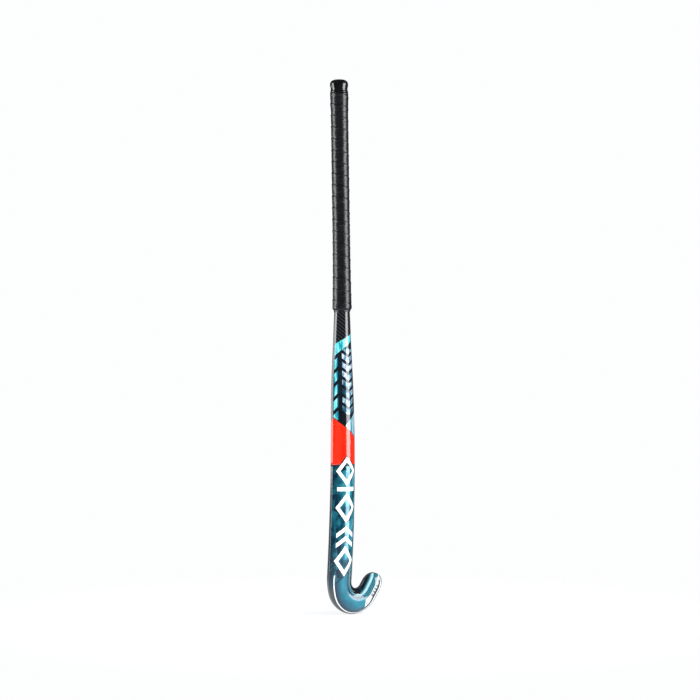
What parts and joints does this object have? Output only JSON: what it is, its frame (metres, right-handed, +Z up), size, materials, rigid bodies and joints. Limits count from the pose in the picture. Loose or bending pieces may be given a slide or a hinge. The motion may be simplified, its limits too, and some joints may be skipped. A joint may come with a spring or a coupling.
{
  "type": "field hockey stick",
  "caption": "Full-size composite field hockey stick with a hooked head, flat hitting side, rounded back, low bow, wound cushioned grip and rubber end cap.",
  "frame": {"origin": "middle of the stick's footprint, level with the lowest point of the head, standing upright on its heel", "axes": "+Z up the stick from head to grip, +X from the shaft towards the toe, +Y out of the flat hitting side, -Y out of the rounded back"},
  "size_m": [0.1102, 0.0412, 0.9263],
  "materials": {
    "laminate": "high gloss clear lacquer over printed carbon laminate",
    "aramid_ply": "resin-wetted aramid and carbon weave",
    "rigid_foam": "closed-cell rigid foam",
    "inner_laminate": "bare moulded carbon laminate",
    "damper_elastomer": "soft matt elastomer",
    "plug_plastic": "moulded nylon",
    "cap_rubber": "glossy moulded rubber",
    "base_tape": "thin double-sided cloth tape",
    "grip_tape": "satin cushioned polyurethane",
    "finishing_tape": "smooth stretched vinyl"
  },
  "bodies": {
    "root": {"outer_shell": "laminate", "face_ply": "aramid_ply", "edge_ply": "aramid_ply", "head_core": "rigid_foam", "chamber_tube_heel_side": "inner_laminate", "chamber_tube_toe_side": "inner_laminate", "handle_core": "rigid_foam", "vibration_damper": "damper_elastomer", "butt_plug": "plug_plastic", "end_cap": "cap_rubber", "grip_base_tape": "base_tape", "grip_wrap": "grip_tape", "finishing_tape": "finishing_tape"}
  },
  "joints": []
}
